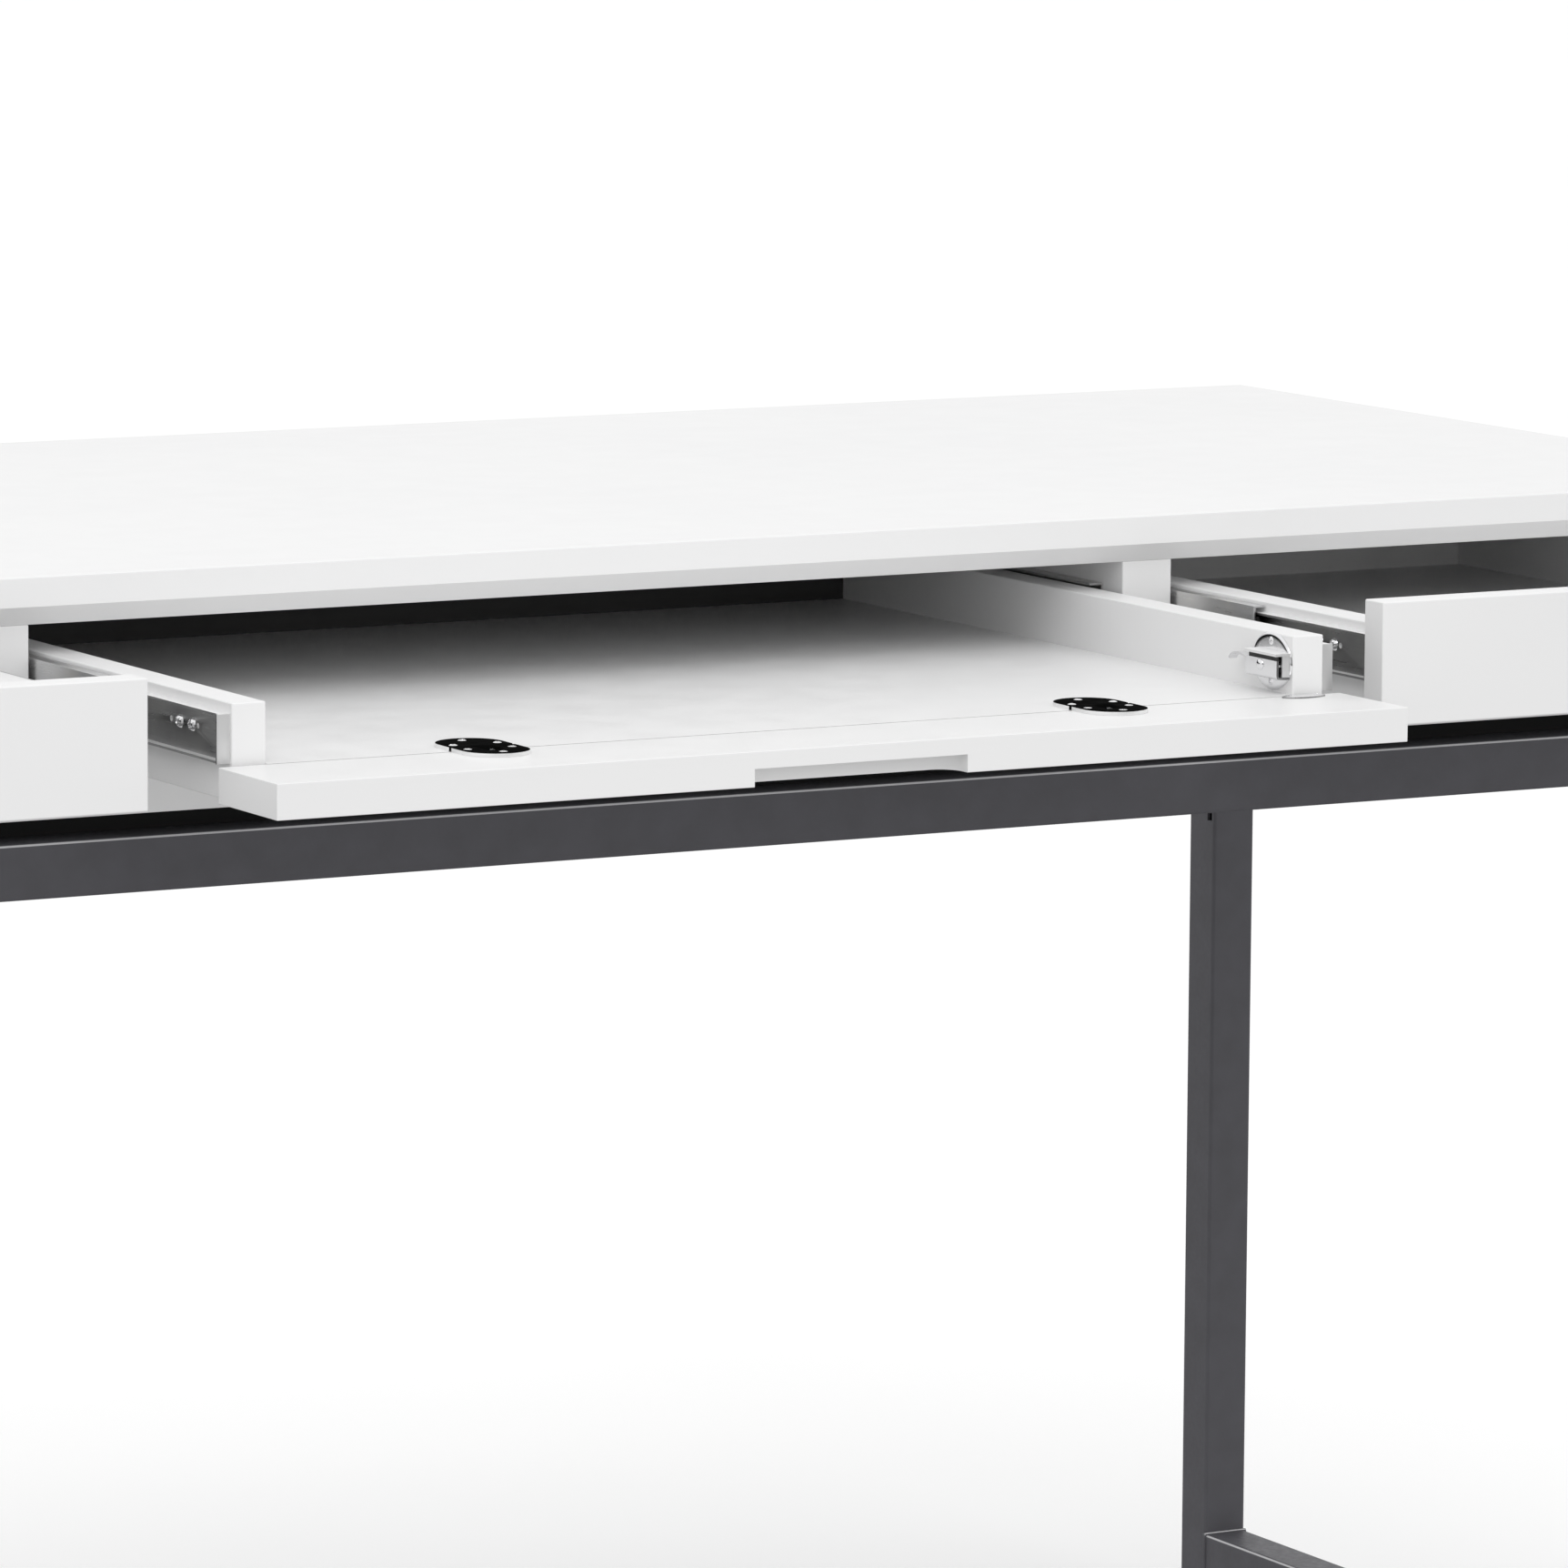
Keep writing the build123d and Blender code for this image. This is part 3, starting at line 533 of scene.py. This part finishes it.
# ---------------------------------------------------------------- catch
plate_thickness = 1.5
plate_halves = (18.3, 14.7)
plate_profile = ((1.0, 0.0), (1.0, 0.7), (0.985, 1.05), (0.955, 1.3), (0.9, 1.45), (0.8, 1.5))
plate_sides = 96
housing_ahead = 15.5         # of the rivet, towards the user
housing_behind = 14.0
housing_half = 6.75          # its height each side of the pivot
housing_sheet = 1.2
housing_bend = 2.2           # outer radius
bend_turns = (0.0, 0.4, 0.8, 1.2, quarter_turn)
skin_drop = 3.6              # the skin stops this far below the housing's top
skin_edge = 0.18
lip_sheet, lip_overhang, lip_edge = 1.3, 1.0, 0.4
lip_ahead, lip_behind = 0.6, 1.2
cheek_inset, cheek_edge = 3.6, 0.25
cheek_start, cheek_end = 0.4, 1.6
core_start, core_end = 1.25, 1.9     # depths behind the skin's outer face
core_ahead, core_behind = 0.8, 1.0
floor_gap, roof_gap = 1.3, 1.4       # between the housing's inside and what is in it
rivet_radius, rivet_rise = 3.0, 1.5
rivet_turns = (0.15, 0.4, 0.65, 0.9, 1.15, 1.4)
stem_radius, stem_length = 1.6, 6.5
small_sides = 40

lever_near, lever_far = 2.0, 6.6     # behind the skin's outer face
lever_half = 0.55                    # half the sheet's thickness
lever_edge = 0.2
# The lever's middle line from its nose to its thumb end: Y and Z from the pivot.
lever_line = ((-13.5, 0.2), (-9.0, 0.4), (-3.2, 0.5), (3.2, 0.5), (9.0, 0.7), (14.0, 1.0),
              (18.0, 1.9), (22.0, 2.8), (26.0, 3.1), (29.5, 2.6), (32.0, 1.4), (33.8, -0.4))
eye_profile = ((3.0, 0.0), (3.2, 0.2), (3.2, 4.4), (3.0, 4.6))

strike_halves = (12.5, 5.5)
strike_profile = ((1.0, 0.0), (1.0, 0.45), (0.97, 0.75), (0.92, 0.92), (0.8, 1.0))
strike_sides = 80
strike_flat = 0.85           # faces that look up less than this are its rim


def across_y(a, b, end):
    """An outline in X and Z, pushed along Y."""
    return mm(a, end, b)


def across_x(a, b, end):
    """An outline in Y and Z, pushed along X."""
    return mm(end, a, b)


def add_block(name, x_span, z_span, y_span, edge=None, segments=2, **looks):
    """A rectangular piece of the catch, its edges rounded where an edge width is given."""
    shape = bmesh.new()
    corners = [(x_span[0], z_span[0]), (x_span[1], z_span[0]),
               (x_span[1], z_span[1]), (x_span[0], z_span[1])]
    outline(shape, corners, y_span, across_y)
    if edge:
        bevel(shape, edge, segments)
    add_piece(name, shape, "catch_body", sharp=40.0, **looks)


def make_catch():
    """An oval plate with a bent housing on it, a domed rivet and a curved thumb lever."""
    low, high = box_mm("catch_body")
    rivet = middle("catch_rivet")
    wall, outer = high.x, low.x
    plate_face = wall - plate_thickness
    front, rear = rivet.y - housing_ahead, rivet.y + housing_behind
    under, top = rivet.z - housing_half, rivet.z + housing_half
    make_catch_plate(Vector((wall, (low.y + high.y) / 2, (low.z + high.z) / 2)))
    make_catch_shell(plate_face, outer, under, top, (front, rear))
    add_block("catch_lip", (plate_face, outer - lip_overhang), (top - lip_sheet, top),
              (front - lip_ahead, rear + lip_behind), lip_edge, segments=3, look="bright_metal_and_painted_highlight")
    inside = (under + floor_gap, top - roof_gap)
    add_block("catch_cheek", (outer + cheek_inset, plate_face), inside,
              (front + cheek_start, front + cheek_end), cheek_edge, look="bright_metal_and_painted_highlight")
    add_block("catch_core", (outer + core_start, outer + core_end), inside,
              (front + core_ahead, rear - core_behind), slot="black_plastic")
    make_rivet(Vector((outer, rivet.y, rivet.z)))
    make_lever(Vector((outer, rivet.y, rivet.z)))


def make_catch_plate(centre):
    """The oval plate on the tray's side."""
    shape = bmesh.new()
    lathe(shape, centre, Vector((-1, 0, 0)), plate_profile, plate_halves, Vector((0, 1, 0)),
          plate_sides)
    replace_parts(add_piece("catch_plate", shape, "catch_body", sharp=50.0), "catch_body")


def make_catch_shell(plate_face, outer, under, top, ends):
    """The housing's skin: out from the plate, round a bend and up."""

    def bend(offset, radius, turns):
        return [(outer + offset + radius - radius * math.sin(turn),
                 under + offset + radius - radius * math.cos(turn)) for turn in turns]

    points = [(plate_face, under)] + bend(0.0, housing_bend, bend_turns)
    points += [(outer, top - skin_drop), (outer + housing_sheet, top - skin_drop)]
    points += bend(housing_sheet, housing_bend - housing_sheet, reversed(bend_turns))
    points += [(plate_face, under + housing_sheet)]
    shape = bmesh.new()
    outline(shape, points, ends, across_y)
    bevel(shape, skin_edge)
    add_piece("catch_shell", shape, "catch_body", sharp=40.0)


def make_rivet(centre):
    """The rivet that the lever turns on, with a domed head."""
    stem = [(stem_radius, -stem_length), (stem_radius, 0.0)]
    dome = [(rivet_radius, 0.0)]
    dome += [(rivet_radius * math.cos(turn), rivet_rise * math.sin(turn))
             for turn in rivet_turns]
    shape = bmesh.new()
    lathe(shape, centre, Vector((-1, 0, 0)), stem + dome, sides=small_sides)
    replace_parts(add_piece("catch_rivet_dome", shape, "catch_rivet", sharp=60.0), "catch_rivet")


def make_lever(pivot):
    """A thin pressed lever: a nose, an eye round the pivot and a curved thumb end."""
    upper, lower = [], []
    last = len(lever_line) - 1
    for index, (y, z) in enumerate(lever_line):
        before, after = lever_line[max(index - 1, 0)], lever_line[min(index + 1, last)]
        lean = Vector((after[0] - before[0], after[1] - before[1])).normalized()
        upper.append((y - lean.y * lever_half, z + lean.x * lever_half))
        lower.append((y + lean.y * lever_half, z - lean.x * lever_half))
    points = [(pivot.y + y, pivot.z + z) for y, z in upper + list(reversed(lower))]
    near = pivot.x + lever_near
    shape = bmesh.new()
    outline(shape, points, (near, pivot.x + lever_far), across_x)
    bevel(shape, lever_edge)
    lathe(shape, Vector((near, pivot.y, pivot.z)), Vector((1, 0, 0)), eye_profile,
          sides=small_sides)
    piece = add_piece("catch_thumb_lever", shape, "catch_lever", sharp=40.0)
    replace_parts(piece, "catch_lever")


def make_strike():
    """A domed oval plate for the catch's nose."""
    centre = middle("strike_plate")
    centre.z = box_mm("strike_plate")[0].z
    shape = bmesh.new()
    lathe(shape, centre, Vector((0, 0, 1)), strike_profile, strike_halves, Vector((1, 0, 0)),
          strike_sides)
    disc = add_piece("strike_disc", shape, "strike_plate", sharp=50.0)
    # Painted dark reflection: the rim gets a darker copy of the zinc plate.
    two_looks(disc, "zinc_painted_dark", lambda face: face.normal.z < strike_flat)
    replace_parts(disc, "strike_plate")


# ---------------------------------------------------------------- slides and hinge leaves
leaf_edge, slide_edge = 0.28, 0.35
web_facing = 0.9             # slide faces that look sideways less than this get bright metal: bare steel on the cut edges, a painted highlight on the flanges
# A hinge's rounded outline, in metres.
outer_screw_reach = 0.0142   # from a hinge's middle to the far side of its outer screws
flap_leaf_reach = 0.030      # from the joint line to the front end of the flap's leaf
straight_half = 0.01275      # half the straight part of its sides
rim_radius = 0.0166          # faces farther out than this are on the rim
rim_height = 0.0020          # and are at most this far below the leaves' top
leaf_top = 0.8               # faces that look up more than this are the leaf's top


def rim_test():
    """A test for faces on the outer edge of a hinge's rounded outline."""
    screw_low, screw_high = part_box("tray_hinge_screws")
    hinge_x = (screw_high[0] - screw_low[0]) / 2.0 - outer_screw_reach
    low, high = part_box("flap_hinge_leaves")
    joint = low[1] + flap_leaf_reach
    surface = high[2] - rim_height

    def on_rim(face):
        across = abs(abs(face.center.x) - hinge_x)
        along = max(0.0, abs(face.center.y - joint) - straight_half)
        return (face.normal.z < leaf_top and math.hypot(across, along) > rim_radius
                and face.center.z > surface)

    return on_rim


def make_sheet_metal():
    """Slides and hinge leaves with their cut edges rounded over."""
    on_rim = rim_test()
    # The leaves' tops keep the near-black painted dark reflection, and their rims get bright
    # metal.
    for node in ("tray_hinge_leaves", "flap_hinge_leaves"):
        two_looks(softened(node, leaf_edge), "bright_metal_and_painted_highlight", on_rim)
    for bay in bays:
        # Painted shade: the inner slides' webs get a darker copy of the zinc plate.
        inner = softened(bay + "_inner_slides", slide_edge, look="zinc_painted_dark")
        two_looks(inner, "bright_metal_and_painted_highlight", lambda face: abs(face.normal.x) < web_facing)
        softened(bay + "_middle_slides", slide_edge)
        softened(bay + "_outer_slides", slide_edge)


# ---------------------------------------------------------------- welds
tube_half = 14.25
bead_radius, bead_wobble = 1.25, 0.12
bead_steps = 12              # along each side of a tube
bead_sides = 8
square = ((1, 1), (-1, 1), (-1, -1), (1, -1))
on_side = 0.99               # a share of the half width that counts as on a tube's side


def make_welds():
    """Ground weld beads where the frame's tubes meet the legs."""
    leg_x = box_mm("front_legs")[1].x - tube_half
    stretcher_z, rail_z = middle("stretchers").z, middle("front_rail").z
    for node in ("front_legs", "back_legs"):
        row = middle(node).y
        inward = 1 if row < 0 else -1
        shape = bmesh.new()
        for side in (-1, 1):
            for level in (stretcher_z, rail_z):
                bead(shape, Vector((side * leg_x, row + inward * tube_half, level)),
                     Vector((0, inward, 0)))
            bead(shape, Vector((side * (leg_x - tube_half), row, rail_z)),
                 Vector((-side, 0, 0)))
        add_piece(node + "_welds", shape, node, sharp=60.0)


def bead(shape, centre, out):
    """A square ring of weld, lying in the corner between a tube and the face it stands on."""
    across = Vector((0, 0, 1))
    up = out.cross(across)
    spots = []
    for corner, (a, b) in enumerate(square):
        next_a, next_b = square[(corner + 1) % len(square)]
        for step in range(bead_steps):
            share = step / bead_steps
            spots.append((a + (next_a - a) * share, b + (next_b - b) * share))
    rings = []
    for a, b in spots:
        size = bead_radius + luck.uniform(-bead_wobble, bead_wobble)
        spine = centre + across * (a * tube_half) + up * (b * tube_half)
        away = (across * a * (abs(a) > on_side) + up * b * (abs(b) > on_side)).normalized()
        ring = []
        for side in range(bead_sides):
            angle = full_turn * side / bead_sides
            ring.append(shape.verts.new((spine + away * (size * math.cos(angle))
                                         + out * (size * math.sin(angle))) / per_metre))
        rings.append(ring)
    for ring, after in zip(rings, rings[1:] + rings[:1]):
        join_rings(shape, ring, after)


# ---------------------------------------------------------------- stage and light, in metres
floor_half = 60.0
floor_glow = 0.13
overhead_place, overhead_target = (-1.0, -2.8, 3.6), (0.0, 0.0, 0.6)
overhead_size = 2.6
overhead_power = 34.0        # watts
below_level = 0.62           # light that comes up from the floor
dark_level = 0.28            # what glossy surfaces see behind the user and underfoot
front_glow = 0.25            # extra brightness low down on the user's side
# Over these parts of a direction's Y or Z the light goes from one level to another. The
# user's side is -Y.
front_span, low_span, horizon_span = (-1.0, -0.2), (0.25, 0.9), (-0.10, -0.02)
behind_span, above_span, underfoot_span = (-0.85, -0.45), (0.3, 0.6), (-0.3, 0.0)


def make_floor():
    """A wide pale floor. It glows a little, so that it burns out to white away from the
    desk's shadow, and the desk itself is lit and mirrored only by the studio."""
    mesh = bpy.data.meshes.new("floor")
    corners = [(-floor_half, -floor_half, 0.0), (floor_half, -floor_half, 0.0),
               (floor_half, floor_half, 0.0), (-floor_half, floor_half, 0.0)]
    mesh.from_pydata(corners, [], [(0, 1, 2, 3)])
    floor = bpy.data.objects.new("floor", mesh)
    bpy.context.scene.collection.objects.link(floor)
    mesh.materials.append(make_material(
        "floor_white",
        tint=dict(low=grey(0.86), high=grey(0.87), scale=3.0),
        even={"Roughness": 0.85, "Specular IOR Level": 0.2, "Emission Color": grey(1.0),
              "Emission Strength": floor_glow}))
    floor.visible_diffuse = False
    floor.visible_glossy = False


def soft_box(name, place, target, size, power):
    """A square area light turned to a target."""
    data = bpy.data.lights.new(name, "AREA")
    data.shape = "SQUARE"
    data.size = size
    data.energy = power
    light = bpy.data.objects.new(name, data)
    light.location = place
    light.rotation_euler = (Vector(target) - Vector(place)).to_track_quat("-Z", "Y").to_euler()
    bpy.context.scene.collection.objects.link(light)


def spread(tree, value, source, target):
    """Maps one range smoothly onto another."""
    node = tree.nodes.new("ShaderNodeMapRange")
    node.interpolation_type = "SMOOTHSTEP"
    node.inputs["From Min"].default_value = source[0]
    node.inputs["From Max"].default_value = source[1]
    node.inputs["To Min"].default_value = target[0]
    node.inputs["To Max"].default_value = target[1]
    tree.links.new(value, node.inputs["Value"])
    return node.outputs["Result"]


def math_node(tree, operation, first, second, third=None):
    """Joins two values, with a fixed third if the operation takes one."""
    node = tree.nodes.new("ShaderNodeMath")
    node.operation = operation
    tree.links.new(first, node.inputs[0])
    tree.links.new(second, node.inputs[1])
    if third is not None:
        node.inputs[2].default_value = third
    return node.outputs["Value"]


def light_scene():
    """A white studio: even light from all round and a large soft box overhead."""
    world = bpy.data.worlds.new("studio")
    world.use_nodes = True
    tree = world.node_tree
    background = tree.nodes["Background"]
    background.inputs["Color"].default_value = grey(1.0)
    place = tree.nodes.new("ShaderNodeTexCoord")
    parts = tree.nodes.new("ShaderNodeSeparateXYZ")
    tree.links.new(place.outputs["Generated"], parts.inputs["Vector"])
    y, z = parts.outputs["Y"], parts.outputs["Z"]
    front = spread(tree, y, front_span, (front_glow, 0.0))
    low = spread(tree, z, low_span, (1.0, 0.0))
    ground = spread(tree, z, horizon_span, (below_level, 1.0))
    glow = math_node(tree, "MULTIPLY_ADD", front, low, 1.0)
    level = math_node(tree, "MULTIPLY", glow, ground)
    behind = spread(tree, y, behind_span, (dark_level, 1.0))
    above = spread(tree, z, above_span, (0.0, 1.0))
    underfoot = spread(tree, z, underfoot_span, (dark_level, 1.0))
    ring = math_node(tree, "MAXIMUM", behind, above)
    mirrored = math_node(tree, "MULTIPLY", ring, underfoot)
    path = tree.nodes.new("ShaderNodeLightPath")
    choice = tree.nodes.new("ShaderNodeMix")
    tree.links.new(path.outputs["Is Glossy Ray"], choice.inputs[0])
    choice.inputs[2].default_value = 1.0
    tree.links.new(mirrored, choice.inputs[3])
    shown = math_node(tree, "MULTIPLY", level, choice.outputs[0])
    tree.links.new(shown, background.inputs["Strength"])
    bpy.context.scene.world = world
    soft_box("overhead", overhead_place, overhead_target, overhead_size, overhead_power)
    bpy.context.scene.view_settings.view_transform = "Standard"


make_camera()
finish_cad_nodes()
make_sheet_metal()
make_screws()
make_catch()
make_strike()
make_welds()
make_floor()
light_scene()
